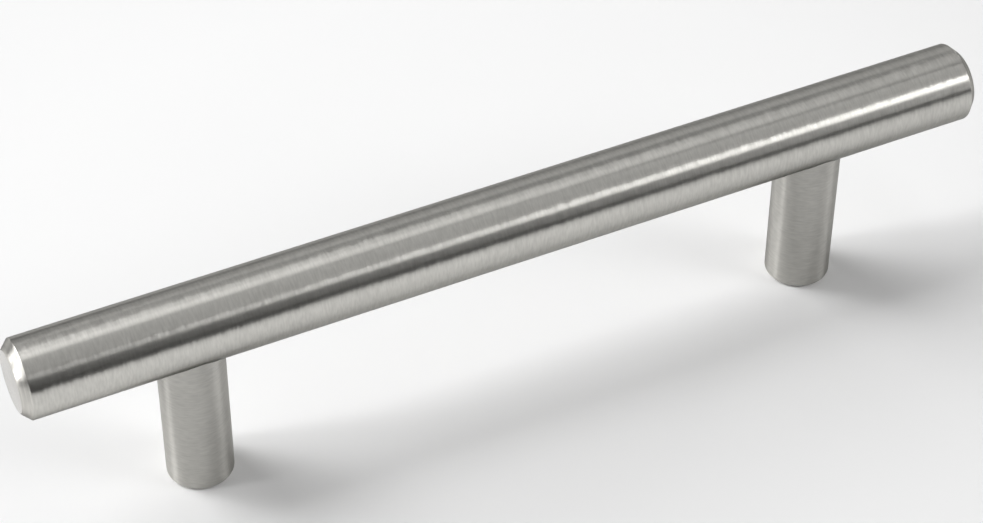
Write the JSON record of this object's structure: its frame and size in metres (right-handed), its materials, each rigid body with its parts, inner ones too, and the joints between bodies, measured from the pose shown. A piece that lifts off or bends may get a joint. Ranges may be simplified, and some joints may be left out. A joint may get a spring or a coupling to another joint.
{
  "type": "t-bar pull",
  "caption": "Round bar cabinet pull: a chamfered bar on two saddle-cut round posts, each tapped in its foot for a screw.",
  "frame": {"origin": "on the mounting surface, midway between the two screw holes, under the middle of the bar", "axes": "+X along the bar, towards the right post; +Z out of the mounting surface, towards the bar; Y across the bar"},
  "size_m": [0.152, 0.012, 0.035],
  "materials": {
    "bar_steel": "stainless steel, finely brushed round the bar, with turned chamfers",
    "post_steel": "stainless steel, finely brushed round the post",
    "stud_steel": "plain steel set screw, hidden in the joint"
  },
  "bodies": {
    "root": {"bar": "bar_steel", "left_post": "post_steel", "right_post": "post_steel", "left_stud": "stud_steel", "right_stud": "stud_steel"}
  },
  "joints": []
}
